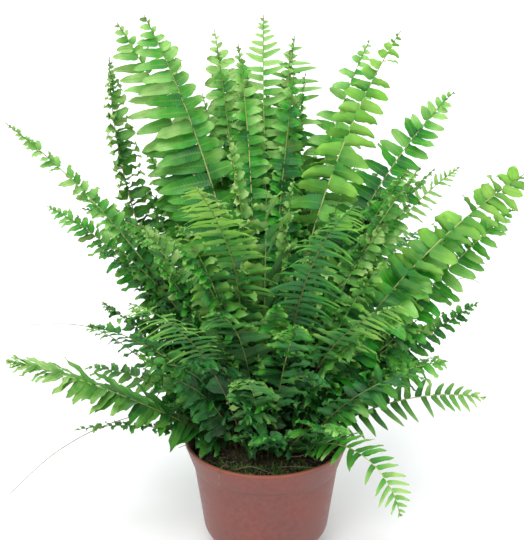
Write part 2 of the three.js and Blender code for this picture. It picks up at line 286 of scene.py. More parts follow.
def addRamp(tree, *stops):
    node = addNode(tree, "ShaderNodeValToRGB")
    elements = node.color_ramp.elements
    while len(elements) < len(stops):
        elements.new(0.5)
    for element, (position, color) in zip(elements, stops):
        element.position = position
        element.color = (*color, 1)
    return node


def addMath(tree, operation, *inputs):
    node = addNode(tree, "ShaderNodeMath", operation=operation)
    for i, value in enumerate(inputs):
        if hasattr(value, "is_output"):
            link(tree, value, node.inputs[i])
        else:
            node.inputs[i].default_value = value
    return node.outputs[0]


def addMix(tree, factor, first, second):
    node = addNode(tree, "ShaderNodeMix", data_type="RGBA")
    for socket, value in zip((node.inputs[0], node.inputs[6], node.inputs[7]), (factor, first, second)):
        if hasattr(value, "is_output"):
            link(tree, value, socket)
        elif isinstance(value, tuple):
            socket.default_value = (*value, 1)
        else:
            socket.default_value = value
    return node.outputs[2]


def addRemap(tree, value, low, high, outLow=0.0, outHigh=1.0):
    node = addNode(tree, "ShaderNodeMapRange")
    link(tree, value, node.inputs[0])
    for i, number in enumerate((low, high, outLow, outHigh)):
        node.inputs[i + 1].default_value = number
    return node.outputs[0]


def dressSurface(tree, surface, color, gloss, roughness, relief, strength, distance):
    # Every surface has its colour, an uneven gloss between two roughnesses and a fine relief.
    link(tree, color, surface.inputs["Base Color"])
    link(tree, addRemap(tree, gloss, 0.0, 1.0, *roughness), surface.inputs["Roughness"])
    bump = addNode(tree, "ShaderNodeBump", Strength=strength, Distance=distance)
    link(tree, relief, bump.inputs["Height"])
    link(tree, bump.outputs[0], surface.inputs["Normal"])
    setOut(tree, tree.nodes["Material Output"])


def newGroup(name, inputs, outputs):
    group = bpy.data.node_groups.new(name, "ShaderNodeTree")
    for label, kind, value in inputs:
        group.interface.new_socket(label, in_out="INPUT", socket_type=kind).default_value = value
    for label, kind in outputs:
        group.interface.new_socket(label, in_out="OUTPUT", socket_type=kind)
    return group, group.nodes.new("NodeGroupInput"), group.nodes.new("NodeGroupOutput")


def placeGroup(tree, group, **values):
    node = addNode(tree, "ShaderNodeGroup")
    node.node_tree = group
    for key, value in values.items():
        node.inputs[key].default_value = value
    return node


# Leaf veins: a fine midrib, and side veins that run forward from it to the margin.
def makeVeinGroup():
    group, entry, leave = newGroup(
        "leafVeins",
        [("Vein Count", "NodeSocketFloat", 16.0), ("Vein Slant", "NodeSocketFloat", 0.12)],
        [("Midrib", "NodeSocketFloat"), ("Veins", "NodeSocketFloat")],
    )
    places = addNode(group, "ShaderNodeUVMap", uv_map="leafletUv")
    parts = addNode(group, "ShaderNodeSeparateXYZ")
    link(group, places.outputs[0], parts.inputs[0])
    reach = addMath(group, "ABSOLUTE", addMath(group, "SUBTRACT", parts.outputs[1], 0.5))
    midrib = addRemap(group, reach, 0.02, 0.075, 1.0, 0.0)
    slant = addMath(group, "MULTIPLY", reach, entry.outputs["Vein Slant"])
    shifted = addMath(group, "SUBTRACT", parts.outputs[0], slant)
    turns = addMath(group, "MULTIPLY", shifted, entry.outputs["Vein Count"])
    ridge = addMath(group, "ABSOLUTE", addMath(group, "SUBTRACT", addMath(group, "FRACT", turns), 0.5))
    veins = addRemap(group, ridge, 0.05, 0.20, 1.0, 0.0)
    link(group, midrib, leave.inputs["Midrib"])
    link(group, veins, leave.inputs["Veins"])
    setOut(group, leave)
    return group


# Mottle: two sizes of soft noise in the plant's own place, for uneven colour and gloss.
def makeMottleGroup():
    group, entry, leave = newGroup(
        "softMottle",
        [("Large", "NodeSocketFloat", 60.0), ("Small", "NodeSocketFloat", 400.0)],
        [("Patches", "NodeSocketFloat"), ("Specks", "NodeSocketFloat")],
    )
    places = addNode(group, "ShaderNodeTexCoord")
    large = addNode(group, "ShaderNodeTexNoise", Detail=2.0)
    small = addNode(group, "ShaderNodeTexNoise", Detail=3.0)
    for node, size, mask in ((large, "Large", "Patches"), (small, "Small", "Specks")):
        link(group, places.outputs["Object"], node.inputs["Vector"])
        link(group, entry.outputs[size], node.inputs["Scale"])
        link(group, addRemap(group, node.outputs[0], 0.35, 0.65), leave.inputs[mask])
    setOut(group, leave)
    return group


veinGroup = makeVeinGroup()
mottleGroup = makeMottleGroup()

leafColors = {
    "deep": (0.003, 0.042, 0.010),
    "green": (0.015, 0.165, 0.024),
    "fresh": (0.098, 0.365, 0.044),
    "young": (0.430, 0.700, 0.220),
    "bloomAndSheen": (0.200, 0.430, 0.160),
    "midrib": (0.250, 0.430, 0.070),
    "underDeep": (0.010, 0.085, 0.022),
    "underMid": (0.048, 0.245, 0.045),
    "underFresh": (0.360, 0.650, 0.120),
    "brown": (0.110, 0.075, 0.025),
    "stalkFoot": (0.050, 0.038, 0.014),
    "stalkGreen": (0.20, 0.28, 0.055),
    "stalkPale": (0.56, 0.66, 0.22),
    "stalkScales": (0.16, 0.10, 0.04),
}


def makeLeafMaterial(name, ramp, bloomAndSheenShare, gloss, light):
    material, tree, surface = newMaterial(name)
    shade = addNode(tree, "ShaderNodeAttribute", attribute_name="leafShade")
    dry = addNode(tree, "ShaderNodeAttribute", attribute_name="leafDry")
    mottle = placeGroup(tree, mottleGroup, Large=70.0, Small=420.0)
    veins = placeGroup(tree, veinGroup)
    uneven = addRemap(tree, mottle.outputs["Patches"], 0.0, 1.0, -0.10, 0.10)
    tone = addMath(tree, "ADD", shade.outputs["Fac"], uneven)
    color = addRamp(tree, *ramp)
    link(tree, tone, color.inputs[0])
    hue = addNode(tree, "ShaderNodeAttribute", attribute_name="leafHue")
    cool = addRemap(tree, hue.outputs["Fac"], -1.0, 1.0, 0.484, 0.522)
    rich = addRemap(tree, hue.outputs["Fac"], -1.0, 1.0, 0.96, 1.12)
    tinted = addNode(tree, "ShaderNodeHueSaturation")
    link(tree, cool, tinted.inputs["Hue"])
    link(tree, rich, tinted.inputs["Saturation"])
    link(tree, color.outputs[0], tinted.inputs["Color"])
    # Specks of a pale waxy bloom, which are partly painted sheen.
    bloomAndSheen = addMath(tree, "MULTIPLY", mottle.outputs["Specks"], bloomAndSheenShare)
    body = addMix(tree, bloomAndSheen, tinted.outputs[0], leafColors["bloomAndSheen"])
    veined = addMix(tree, addMath(tree, "MULTIPLY", veins.outputs["Veins"], 0.16), body, leafColors["midrib"])
    # The midrib is pale on young leaflets and hardly shows on old dark ones.
    ribShare = addMath(tree, "MULTIPLY", veins.outputs["Midrib"],
                       addRemap(tree, tone, 0.1, 0.7, 0.10, 0.50))
    ribbed = addMix(tree, ribShare, veined, leafColors["midrib"])
    final = addMix(tree, dry.outputs["Fac"], ribbed, leafColors["brown"])
    ribRelief = addMath(tree, "MULTIPLY", veins.outputs["Midrib"], 2.0)
    relief = addMath(tree, "ADD", veins.outputs["Veins"], ribRelief)
    dressSurface(tree, surface, final, mottle.outputs["Specks"], (gloss, gloss + 0.16), relief, 0.25, 0.0003)
    surface.inputs["Specular IOR Level"].default_value = 0.35
    glow = addNode(tree, "ShaderNodeBsdfTranslucent")
    through = addMix(tree, 0.4, final, leafColors["fresh"])
    link(tree, through, glow.inputs["Color"])
    blend = addNode(tree, "ShaderNodeMixShader")
    blend.inputs[0].default_value = light
    link(tree, surface.outputs[0], blend.inputs[1])
    link(tree, glow.outputs[0], blend.inputs[2])
    link(tree, blend.outputs[0], tree.nodes["Material Output"].inputs["Surface"])
    setOut(tree, tree.nodes["Material Output"])
    return material


topRamp = ((0.0, leafColors["deep"]), (0.38, leafColors["green"]),
           (0.68, leafColors["fresh"]), (1.0, leafColors["young"]))
underRamp = ((0.0, leafColors["underDeep"]), (0.45, leafColors["underMid"]), (1.0, leafColors["underFresh"]))
leafTop = makeLeafMaterial("leafTop", topRamp, 0.12, 0.34, 0.20)
leafUnder = makeLeafMaterial("leafUnder", underRamp, 0.14, 0.45, 0.20)


def makeStalkMaterial():
    material, tree, surface = newMaterial("stalkSkin")
    shade = addNode(tree, "ShaderNodeAttribute", attribute_name="leafShade")
    mottle = placeGroup(tree, mottleGroup, Large=150.0, Small=900.0)
    tone = addRamp(tree, (0.0, leafColors["stalkFoot"]), (0.35, leafColors["stalkGreen"]),
                   (0.8, leafColors["stalkPale"]))
    link(tree, shade.outputs["Fac"], tone.inputs[0])
    scaly = addMix(tree, addMath(tree, "MULTIPLY", mottle.outputs["Specks"], 0.22),
                   tone.outputs[0], leafColors["stalkScales"])
    dressSurface(tree, surface, scaly, mottle.outputs["Patches"], (0.5, 0.7), mottle.outputs["Specks"],
                 0.3, 0.0002)
    return material


stalkSkin = makeStalkMaterial()
print("leaf materials made")

# Crown: every frond grows from this low dome, so the stalks find their feet by it.
crown = {"radius": 34, "edge": 2, "height": 9, "floor": 84.3, "foot": 80.0, "rings": 16, "around": 72,
         "stubs": 70, "scales": 240}


def crownTop(radius):
    share = radius / crown["radius"]
    return crown["floor"] + crown["edge"] + (crown["height"] - crown["edge"]) * (1 - share * share)


# Fronds.

stalkShape = {"footRadius": 0.95, "tipRadius": 0.28, "sides": 6, "steps": 40, "root": 7.0,
              "footRise": 1.5, "archPower": 1.5, "sway": 0.008, "fullLength": 240}


def frondPath(habit, rng):
    # Each place along the stalk, with the ways ahead, to the left and up from the frond's flat side.
    heading = math.radians(habit["heading"])
    outward = np.array([math.cos(heading), math.sin(heading), 0.0])
    level = np.array([-math.sin(heading), math.cos(heading), 0.0])
    steps = stalkShape["steps"]
    stride = habit["length"] / steps
    place = outward * habit["seat"]
    place[2] = crownTop(habit["seat"]) + stalkShape["footRise"]
    swayPhase = rng.uniform(0, 6.28)

    def fallAt(share):
        return math.radians(habit["lean"] + habit["arch"] * share ** stalkShape["archPower"])

    rows = []
    for i in range(steps + 1):
        share = i / steps
        along = outward * math.sin(fallAt(share))
        along[2] = math.cos(fallAt(share))
        left = turnAbout(level, along, np.array(math.radians(habit["roll"])))
        sway = stalkShape["sway"] * habit["length"] * share * math.sin(swayPhase + 5 * share)
        rows.append((place + level * sway, along, left, np.cross(along, left)))
        fallNext = fallAt((i + 0.5) / steps)
        place = place + outward * math.sin(fallNext) * stride
        place[2] += math.cos(fallNext) * stride
    return [np.array(column) for column in zip(*rows)]


def alongPath(path, share):
    at = np.clip(share, 0, 1) * (len(path[0]) - 1)
    low = np.minimum(at.astype(int), len(path[0]) - 2)
    part = (at - low)[:, None]
    return [column[low] * (1 - part) + column[low + 1] * part for column in path]


def makeStalk(habit, path):
    # A tapering tube that starts inside the crown and ends in a point.
    ring = stalkShape["sides"]
    spine, ahead, lefts, ups = path
    spine = np.vstack([spine[0] - ahead[0] * stalkShape["root"], spine])
    lefts = np.vstack([lefts[:1], lefts])
    ups = np.vstack([ups[:1], ups])
    share = np.linspace(0, 1, len(spine))
    radius = stalkShape["footRadius"] + (stalkShape["tipRadius"] - stalkShape["footRadius"]) * share ** 0.8
    radius = radius * (0.6 + 0.4 * min(1.0, habit["length"] / stalkShape["fullLength"]))
    angles = np.arange(ring) / ring * 2 * math.pi
    circle = lefts[:, None] * np.cos(angles)[None, :, None] + ups[:, None] * np.sin(angles)[None, :, None]
    tube = (spine[:, None] + circle * radius[:, None, None]).reshape(-1, 3)
    faces = []
    for i in range(len(spine) - 1):
        for k in range(ring):
            n = (k + 1) % ring
            faces.append((i * ring + k, i * ring + n, (i + 1) * ring + n, (i + 1) * ring + k))
    faces.append(tuple(reversed(range(ring))))
    faces.append(tuple((len(spine) - 1) * ring + k for k in range(ring)))
    return tube, faces, share

# The leaflet every frond has, before its own look changes it. Sizes are shares of a leaflet's length
# or width, and angles are degrees. Levelling turns leaflets back towards the level.
leafletShape = {
    "rows": (0, 0.05, 0.13, 0.25, 0.40, 0.56, 0.72, 0.86, 0.96), "columns": 5,
    "lastShare": 0.992, "missing": 0.05, "unevenPlace": 0.0015, "levelling": 0.7, "forwardAtTip": 34,
    "sweepSpread": 5, "foldSpread": 8, "ear": 0.34, "earPlace": 0.09, "earReach": 0.07,
    "crenation": 0.05, "crenations": 52, "thickness": 0.16, "midribDip": 0.10,
}


# A leaflet is a thin closed lens: a top and an underside that share one margin. The template holds
# each corner's place along and across it, and its side: 1 on top, -1 beneath, 0 on the margin.
def makeLeafletTemplate():
    rows, columns = leafletShape["rows"], leafletShape["columns"]
    along, across, side = [], [], []

    def addCorner(a, b, which):
        along.append(a)
        across.append(b)
        side.append(which)
        return len(along) - 1

    spots = [(r, c, a, 2 * c / (columns - 1) - 1) for r, a in enumerate(rows) for c in range(columns)]
    top, beneath = {}, {}
    for r, c, a, b in spots:
        onMargin = r == 0 or c in (0, columns - 1)
        top[r, c] = addCorner(a, b, 0 if onMargin else 1)
    tip = addCorner(1.0, 0.0, 0)
    for r, c, a, b in spots:
        onMargin = side[top[r, c]] == 0
        beneath[r, c] = top[r, c] if onMargin else addCorner(a, b, -1)
    upper, lower = [], []
    last = len(rows) - 1
    for c in range(columns - 1):
        for r in range(last):
            upper.append((top[r, c], top[r + 1, c], top[r + 1, c + 1], top[r, c + 1]))
            lower.append((beneath[r, c], beneath[r, c + 1], beneath[r + 1, c + 1], beneath[r + 1, c]))
        upper.append((top[last, c], tip, top[last, c + 1]))
        lower.append((beneath[last, c], beneath[last, c + 1], tip))
    return np.array(along), np.array(across), np.array(side), upper, lower


leafletTemplate = makeLeafletTemplate()


def leafletOutline(a, blunt):
    # Half-width over the leaflet: a short neck, near-parallel sides and a rounded tip.
    return np.minimum(1.0, 0.6 + 4.0 * a) * np.maximum(0.0, 1 - a ** blunt) ** 0.65


def bladeWidth(share, bare):
    along = np.clip((share - bare) / (1 - bare), 0, 1)
    tip = np.minimum(1, 0.2 + 7 * (1 - along))
    return np.minimum(1, 0.60 + 2.0 * along) * np.maximum(0, 1.01 - along) ** 0.42 * 1.12 * tip


def placeLeaflets(habit, look, rng):
    # Shares along the stalk, closer together towards the tip, in turn on the left and the right.
    shares, sides = [], []
    share, side = look["bare"], 1
    while share < leafletShape["lastShare"]:
        shares.append(share)
        sides.append(side)
        width = min(1.0, float(bladeWidth(np.array(share), look["bare"])))
        share += look["spacing"] * (0.36 + 0.64 * width) / habit["length"] / 2
        side = -side
    kept = rng.random(len(shares)) > leafletShape["missing"]
    shares = np.array(shares) + rng.normal(0, leafletShape["unevenPlace"], len(shares))
    return shares[kept], np.array(sides, float)[kept]


def shapeLeaflets(habit, look, path, shares, sides, rng):
    # The corners of every leaflet, and whether each one's corners run the other way round.
    shape = leafletShape
    count = len(shares)
    place, along, left, up = alongPath(path, shares)
    along, left, up = unit(along), unit(left), unit(up)
    width = bladeWidth(shares, look["bare"])
    length = habit["leaf"] * look["grow"] * width * rng.uniform(0.84, 1.06, count) + 1.2
    length = length * (1 + look["uneven"] * sides)
    broad = look["spacing"] * look["broad"] * (0.30 + 0.70 * np.minimum(1, width))
    broad = np.minimum(broad, 0.66 * length) * rng.uniform(0.86, 1.10, count)

    # Leaflets lean forward more and more towards the tip, and rise or fall by the fold.
    forwardLean = shape["forwardAtTip"] * shares ** 5
    sweep = np.radians(look["sweep"] + forwardLean + rng.normal(0, shape["sweepSpread"], count))
    fold = np.radians(look["fold"] + rng.normal(0, shape["foldSpread"], count))
    out = left * sides[:, None]
    reach = out * (np.cos(sweep) * np.cos(fold))[:, None] + along * np.sin(sweep)[:, None]
    reach = unit((reach + up * np.sin(fold)[:, None]) * np.array([1, 1, shape["levelling"]]))
    forward = unit(along - reach * (along * reach).sum(1, keepdims=True))
    face = np.cross(reach, forward) * sides[:, None] * -1.0
    face = np.where(((face * up).sum(1) < 0)[:, None], -face, face)
    twist = np.radians(rng.normal(look["twist"] * 0.35, look["twist"] * 0.5, count)) * sides
    forward = turnAbout(forward, reach, twist)
    face = turnAbout(face, reach, twist)

    # The blade: its outline with an ear at the foot and a scalloped margin, then its waves and curl.
    a, b, level = (part[None] for part in leafletTemplate[:3])
    halfWide = broad[:, None] / 2 * leafletOutline(a, look["blunt"])
    earHere = shape["ear"] * np.exp(-(((a - shape["earPlace"]) / shape["earReach"]) ** 2))
    ear = np.where(b > 0, earHere, 0.0) * broad[:, None] / 2
    crenate = 1 + shape["crenation"] * np.sin(a * shape["crenations"] + b)
    spread = b * (halfWide * crenate + ear)
    curlTurn = np.radians(rng.normal(0, look["twist"] * 0.9, count))[:, None] * a ** 1.4
    wave = rng.uniform(0, 6.28, count)[:, None]
    waves = rng.uniform(1.6, 2.8, count)[:, None] * 6.28
    rise = np.sin(waves * a + wave + 0.9 * b)
    ruffle = look["ruffle"] * broad[:, None] * rise * np.abs(b) ** 1.5 * (a + 0.15)
    cup = rng.normal(0.16, 0.14, count)[:, None] * halfWide * b ** 2
    dip = -shape["midribDip"] * halfWide * (1 - np.abs(b)) * (1 - a)
    thick = shape["thickness"] * level * (1 - 0.5 * np.abs(b)) * np.minimum(1, 6 * (1 - a))
    lift = ruffle + cup + dip + thick
    cosine, sine = np.cos(curlTurn)[..., None], np.sin(curlTurn)[..., None]
    forwardHere = forward[:, None] * cosine + face[:, None] * sine
    faceHere = face[:, None] * cosine - forward[:, None] * sine
    sag = (look["sag"] * rng.uniform(0.5, 1.5, count) * length)[:, None] * a ** 2
    hook = (rng.normal(0.07, 0.05, count) * length)[:, None] * a ** 2
    down = np.array([0.0, 0.0, -1.0])
    points = (place[:, None] + reach[:, None] * (length[:, None] * (a - 0.10 * a ** 2))[..., None]
              + down * sag[..., None] + along[:, None] * hook[..., None]
              + forwardHere * spread[..., None] + faceHere * lift[..., None])
    # A leaflet on the left is wound one way and its mirror image on the right the other.
    turned = (np.cross(reach, forward) * face).sum(1) > 0
    return place, points, turned

# How a leaflet's tone, hue and dryness differ over the plant and along the leaflet itself. The tone's
# # rise along the leaflet is painted shade at its foot and painted light at its tip, and its rise up
# # high and out at the sides is painted light.
leafletTone = {"frondSpread": 0.04, "leafletSpread": 0.10, "paintedLightTowardsTip": 0.42, "high": 0.15, "outside": 0.10,
               "hueSpread": 0.3, "dryFrondTip": 0.7, "dryLeaflet": 0.4, "dryShare": 0.006, "dryTip": 0.25}


def shadeLeaflets(look, place, shares, rng):
    # Painted light and shade: leaflets pale towards the frond's tip, towards their own tips and where the
    #     # light is best, high up and out at the sides, and darken towards the feet of both.
    change = leafletTone
    count = len(shares)
    a = leafletTemplate[0][None]
    own = rng.normal(0, change["frondSpread"])
    uneven = rng.normal(0, change["leafletSpread"], count)
    shade = look["tone"] + own + look["paintedLightRise"] * (shares - 0.6) + uneven
    shade = shade[:, None] + change["paintedLightTowardsTip"] * (a - 0.4)
    height = np.clip((place[:, 2] - 200) / 150, 0, 1)
    paintedLightAside = np.clip((np.hypot(place[:, 0], place[:, 1]) - 70) / 80, 0, 1)
    shade += (change["high"] * height + change["outside"] * paintedLightAside)[:, None]
    anyHue = rng.normal(0.1, 0.5)  # for a frond whose look names no hue
    hue = look.get("hue", anyHue) + rng.normal(0, change["hueSpread"], count)
    frondTip = np.clip((shares - 0.975) / 0.02, 0, 1) * change["dryFrondTip"]
    spot = (rng.random(count) < change["dryShare"]) * change["dryLeaflet"]
    dry = np.maximum(frondTip, spot)[:, None] + np.clip((a - 0.93) / 0.07, 0, 1) * change["dryTip"]
    return shade, np.clip(dry, 0, 1), np.repeat(np.clip(hue, -1.3, 1.3), a.shape[1])


def layFlat(spots, cell, grid):
    # Moves a part's flat layout into its own square of the whole sheet, with a gap round it.
    return (spots * 0.9 + 0.05 + np.array((cell % grid, cell // grid))) / grid


def stalkLayout(faces, share):
    # The stalk's flat layout: its length along the sheet and its turns across it, and its two ends.
    ring = stalkShape["sides"]
    wrap = []
    for f in faces[:-2]:
        k = f[0] % ring
        wrap += [(share[corner // ring], v / ring) for corner, v in zip(f, (k, k + 1, k + 1, k))]
    return np.array(wrap + [(0.002 * k, 0.001 * k * k) for k in range(2 * ring)])


def makeFrondMesh(name, habit, look, seed):
    rng = np.random.default_rng(seed)
    path = frondPath(habit, rng)
    shares, sides = placeLeaflets(habit, look, rng)
    place, points, turned = shapeLeaflets(habit, look, path, shares, sides, rng)
    tube, faces, share = makeStalk(habit, path)
    shade, dry, hue = shadeLeaflets(look, place, shares, rng)

    # Material slots: 0 is the top of a leaflet, 1 its underside and 2 the stalk.
    slots = [2] * len(faces)
    uvs = [np.zeros((sum(len(f) for f in faces), 2))]
    grid = math.ceil(math.sqrt(2 * len(shares) + 1))
    atlas = [layFlat(stalkLayout(faces, share), 0, grid)]
    a, b, _, upper, lower = leafletTemplate
    templateUv = np.stack([a, b / 2 + 0.5], 1)
    windings = []
    for part in (upper, lower):
        for faceList in ([f[::-1] for f in part], part):
            windings.append((faceList, templateUv[np.concatenate([np.array(f) for f in faceList])]))
    for i, isTurned in enumerate(turned):
        base = len(tube) + i * len(a)
        for slot in (0, 1):
            faceList, spots = windings[2 * slot + isTurned]
            faces += [tuple(base + v for v in f) for f in faceList]
            slots += [slot] * len(faceList)
            uvs.append(spots)
            atlas.append(layFlat(spots, 2 * i + 1 + slot, grid))
    mesh = bpy.data.meshes.new(name + "_leaf")
    mesh.from_pydata((np.vstack([tube, points.reshape(-1, 3)]) * mm).tolist(), [], faces)
    mesh.polygons.foreach_set("material_index", slots)
    for label, parts in (("leafletUv", uvs), ("OFBake", atlas)):
        mesh.uv_layers.new(name=label).data.foreach_set("uv", np.vstack(parts).astype(np.float32).ravel())
    stem = look.get("stem", 0.3 + 0.9 * look["tone"])
    stalkShade = (0.05 + 0.85 * np.clip(2.2 * share - 0.5, 0, 1) * (1 - 0.8 * share ** 6)) * stem
    plain = np.zeros(len(tube))
    for label, onStalk, onLeaflets in (
            ("leafShade", np.repeat(stalkShade, stalkShape["sides"]), shade.ravel()),
            ("leafDry", plain, dry.ravel()), ("leafHue", plain, hue)):
        values = np.concatenate([onStalk, onLeaflets]).astype(np.float32)
        mesh.attributes.new(label, "FLOAT", "POINT").data.foreach_set("value", values)
    smoothMesh(mesh)
    return mesh


def makeFronds():
    seed = 11  # each frond has its own seed, counted on from here
    for kind, rows in frondHabits.items():
        for i, row in enumerate(rows):
            name = f"{kind}_{i + 1:02d}"
            look = plainLook | leafletLooks[kind] | ownLooks.get(name, {})
            seed += 1
            mesh = makeFrondMesh(name, dict(zip(frondFields, row)), look, seed)
            slot = "young_leaf" if kind == "young_frond" else "leaf"
            showPiece(addObject(name + "_leaf", mesh), name, slot, leafTop, leafUnder, stalkSkin)
        print(f"{kind}s made")


makeFronds()

# Sprigs: the young growth that fills the space between the fronds, in six bands. A pair is the least
# and the most that a sprig of the band may have.
# The low tones of the inner and foot bands are partly painted shade deep in the plant, and the high tones of
# the tall and shoulder bands partly painted light on top.
sprigBands = {
    "inner": dict(count=60, length=(60, 150), leaf=(15, 26), seat=(4, 29), lean=(8, 44), arch=(15, 75),
                  tone=(0.02, 0.44)),
    "middle": dict(count=36, length=(130, 215), leaf=(15, 24), seat=(4, 26), lean=(6, 30), arch=(10, 50),
                   tone=(0.14, 0.56)),
    "tall": dict(count=30, length=(170, 275), leaf=(17, 28), seat=(6, 24), lean=(1, 10), arch=(6, 24),
                 tone=(0.30, 0.70)),
    "shoulder": dict(count=14, length=(190, 240), leaf=(16, 24), seat=(8, 20), lean=(14, 25), arch=(8, 34),
                     tone=(0.36, 0.72)),
    "side": dict(count=18, length=(110, 185), leaf=(16, 25), seat=(14, 28), lean=(24, 48), arch=(5, 40),
                 tone=(0.24, 0.62)),
    "foot": dict(count=40, length=(26, 70), leaf=(9, 17), seat=(20, 33), lean=(10, 56), arch=(10, 60),
                 tone=(0.0, 0.34)),
}
sprigsPerPiece = 9


def sprigHeading(band, i, rng):
    # Round the crown by the golden angle, unless the band belongs to one side.
    heading = (i * 137.5 + rng.uniform(-20, 20)) % 360
    if band == "tall":
        return rng.uniform(52, 128)
    if band == "side":
        return 180 * (i % 2) + rng.uniform(-24, 30)
    if band == "shoulder":
        return (34, 140, 10)[i % 3] + rng.uniform(-14, 14)
    if band == "middle" and 240 < heading < 300:
        return heading + 120
    return heading


def joinSprigs(name, meshes):
    # One piece out of several sprigs, each with its own square of the piece's flat layout.
    across = math.ceil(math.sqrt(len(meshes)))
    pieces = []
    for i, mesh in enumerate(meshes):
        layout = mesh.uv_layers["OFBake"].data
        flat = np.zeros(len(layout) * 2, np.float32)
        layout.foreach_get("uv", flat)
        spots = (flat.reshape(-1, 2) * 0.98 + 0.01 + np.array([i % across, i // across])) / across
        layout.foreach_set("uv", spots.astype(np.float32).ravel())
        for material in (leafTop, leafUnder, stalkSkin):
            mesh.materials.append(material)
        pieces.append(addObject(name, mesh))
    with bpy.context.temp_override(active_object=pieces[0], selected_editable_objects=pieces,
                                   selected_objects=pieces):
        bpy.ops.object.join()
    return pieces[0]


def makeSprigs():
    rng = np.random.default_rng(77)
    number = 0
    for band, reach in sprigBands.items():
        meshes = []
        for i in range(reach["count"]):
            number += 1
            heading = sprigHeading(band, i, rng)
            inFront = 200 < heading < 340
            lean = rng.uniform(*reach["lean"])
            if inFront and band != "foot":  # these stand up and leave the soil in sight
                lean *= 0.5
            short = 0.7 if band == "foot" and inFront else 1
            facing = band in ("tall", "shoulder")  # their flat side is to the front, as the tall fronds' is
            roll = 90 - heading + rng.uniform(-35, 35) if facing else rng.uniform(-80, 80)
            habit = dict(heading=heading, seat=rng.uniform(*reach["seat"]), lean=lean,
                         arch=rng.uniform(*reach["arch"]),
                         length=rng.uniform(*reach["length"]) * (1.1 - lean / 120) * short,
                         leaf=rng.uniform(*reach["leaf"]), roll=roll)
            look = plainLook | dict(spacing=rng.uniform(8.5, 12), broad=1.0, bare=0.2, sweep=24,
                                    fold=rng.uniform(-10, 34), twist=26 if facing else 88, sag=0.36,
                                    ruffle=0.24, blunt=rng.uniform(2.2, 4),
                                    tone=rng.uniform(*reach["tone"]), hue=rng.uniform(-0.3, 0.9))
            meshes.append(makeFrondMesh(f"sprig_{number:03d}", habit, look, 500 + number))
            if len(meshes) == sprigsPerPiece or i == reach["count"] - 1:
                piece = joinSprigs(f"{band}_sprigs_{number:03d}", meshes)
                showPiece(piece, None, "young_leaf")
                meshes = []
        print(f"{band} sprigs made")


makeSprigs()

# Pot, in millimetres: radii, and heights from the floor.
potShape = {
    "height": 92.0, "rim": 60.0, "bead": 3.0, "lip": 2.2, "collarFoot": 74.0, "collarFootRadius": 54.6,
    "neckDrop": 2.5, "neck": 53.4, "heelHeight": 21.0, "heel": 46.7, "heelRounding": 2.0, "foot": 35.0,
    "wall": 1.4, "floor": 2.0, "recess": 1.5, "recessInner": 15.0, "recessOuter": 29.0,
    "drainRadius": 4.0, "drainRing": 22.5, "drains": 8, "around": 144,
}


def roundCorner(before, corner, after, reach, steps=4):
    # A few points on the curve that takes the place of a profile's corner.
    before, corner, after = (np.array(p, float) for p in (before, corner, after))
    start = corner + unit(before - corner) * reach
    end = corner + unit(after - corner) * reach
    return [tuple(start * (1 - t) ** 2 + corner * 2 * t * (1 - t) + end * t ** 2)
            for t in np.linspace(0, 1, steps + 1)]


def heelPoints(inset):
    # The rounded foot and heel of the profile, drawn in by the inset for the inside of the wall.
    p = potShape
    corners = [
        (p["foot"] - 2 - inset, inset), (p["foot"] - inset, inset),
        (p["heel"] - 0.3 * p["heelRounding"] - inset, p["heelHeight"] - 0.5 * p["heelRounding"]),
        (p["heel"] + 1 - inset, p["heelHeight"] + 8),
    ]
    return roundCorner(*corners[:3], 1.2) + roundCorner(*corners[1:], 2.5, 6)


def roundedLip(radius, top, bead, wall):
    # The lip's section: a small bead outside, a round top and the inner edge.
    outer = [(radius - 0.5, top - bead - 0.6), (radius - 0.05, top - bead + 0.1), (radius, top - bead + 0.7)]
    turn = [(radius - wall * (1 - math.cos(t)) * 0.5, top - 0.7 + 0.7 * math.sin(t))
            for t in np.linspace(0, math.pi, 9)]
    return outer + turn + [(radius - wall, top - 1.4)]


def lathe(profile, around):
    # Turns a profile that starts and ends on the axis into one closed surface.
    vertices = [(0.0, 0.0, profile[0][1])]
    for radius, height in profile[1:-1]:
        vertices += [(x, y, height) for x, y in ringPoints(radius, around)]
    vertices.append((0.0, 0.0, profile[-1][1]))
    return vertices, ringFaces(len(profile) - 2, around)


# The lip colour is a painted highlight along the rim, and the darkest colour a painted shade under the
# collar.
potColors = {"clay": (0.190, 0.047, 0.037), "clayDark": (0.160, 0.050, 0.042), "dust": (0.32, 0.17, 0.14),
             "lip": (0.32, 0.088, 0.045), "paintedCollarShade": (0.07, 0.024, 0.02)}


